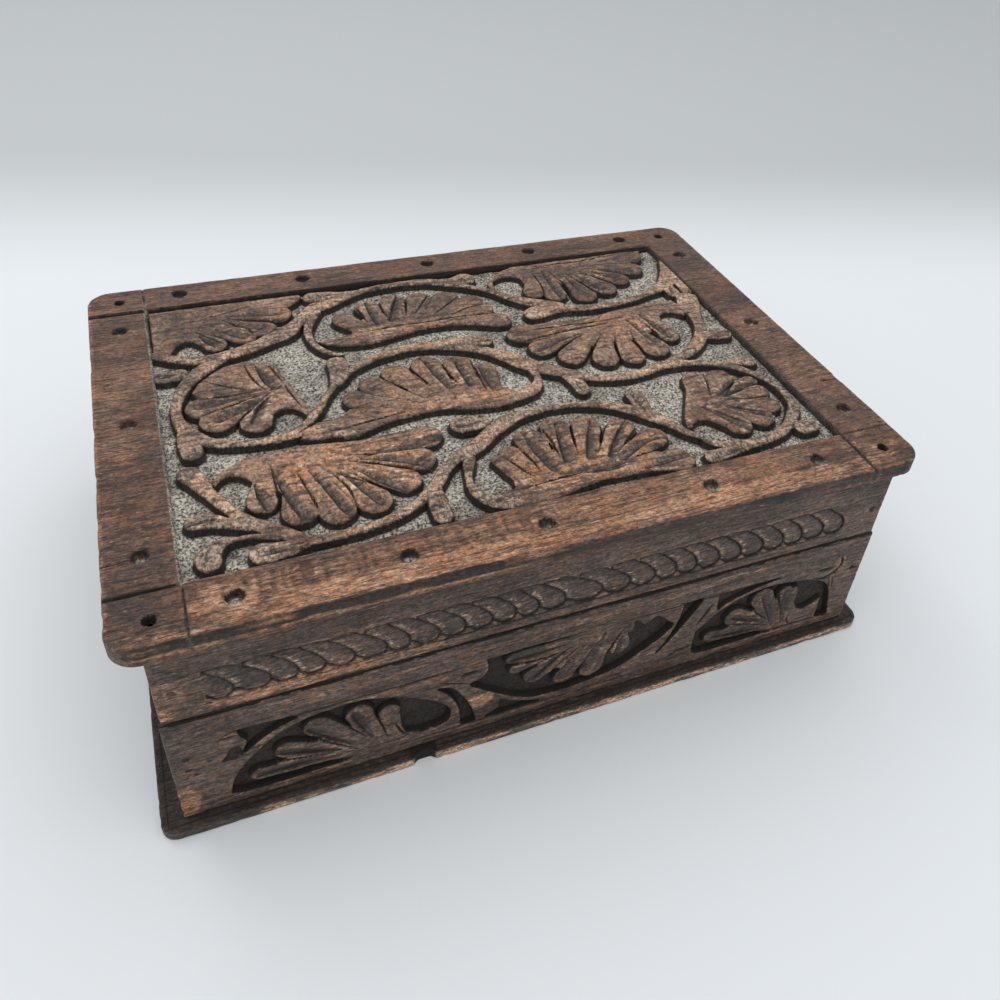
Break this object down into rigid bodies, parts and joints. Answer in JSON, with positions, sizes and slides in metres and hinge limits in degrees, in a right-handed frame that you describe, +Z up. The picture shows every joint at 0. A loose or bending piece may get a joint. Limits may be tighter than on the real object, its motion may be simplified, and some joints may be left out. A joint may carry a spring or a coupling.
{
  "type": "hinged keepsake box",
  "caption": "Rectangular wooden keepsake box with an overhanging carved lid that opens on butt hinges at the back.",
  "frame": {"origin": "middle of the outline of the whole box, on the surface that it stands on", "axes": "+X along the length, to the right seen from the front; +Y from the front to the hinged back; +Z up"},
  "size_m": [0.25, 0.178, 0.083],
  "materials": {
    "carved_wood": "dark walnut-brown hardwood, hand carved, waxed and worn lighter on the edges",
    "base_wood": "dark brown hardwood board, worn lighter on its front edge",
    "hinge_brass": "old brass, dulled and darkened",
    "iron": "dark, lightly rusted iron"
  },
  "bodies": {
    "box": {"front_board": "carved_wood", "back_board": "carved_wood", "left_board": "carved_wood", "right_board": "carved_wood", "base_board": "base_wood", "box_corner_nails": "iron", "base_nails": "iron", "box_hinge_screws": "hinge_brass", "hinge_left_box_leaf": "hinge_brass", "hinge_left_pin": "hinge_brass", "hinge_right_box_leaf": "hinge_brass", "hinge_right_pin": "hinge_brass"},
    "lid": {"lid_panel": "carved_wood", "lid_front_rail": "carved_wood", "lid_back_rail": "carved_wood", "lid_left_rail": "carved_wood", "lid_right_rail": "carved_wood", "lid_panel_nails": "iron", "lid_corner_nails": "iron", "lid_hinge_screws": "hinge_brass", "hinge_left_lid_leaf": "hinge_brass", "hinge_right_lid_leaf": "hinge_brass"}
  },
  "joints": [
    {"name": "lid_hinge", "type": "hinge", "parent": "box", "child": "lid", "pos_m": [0, 0.08685, 0.048], "axis": [-1, 0, 0], "range_deg": [0, 170]}
  ]
}
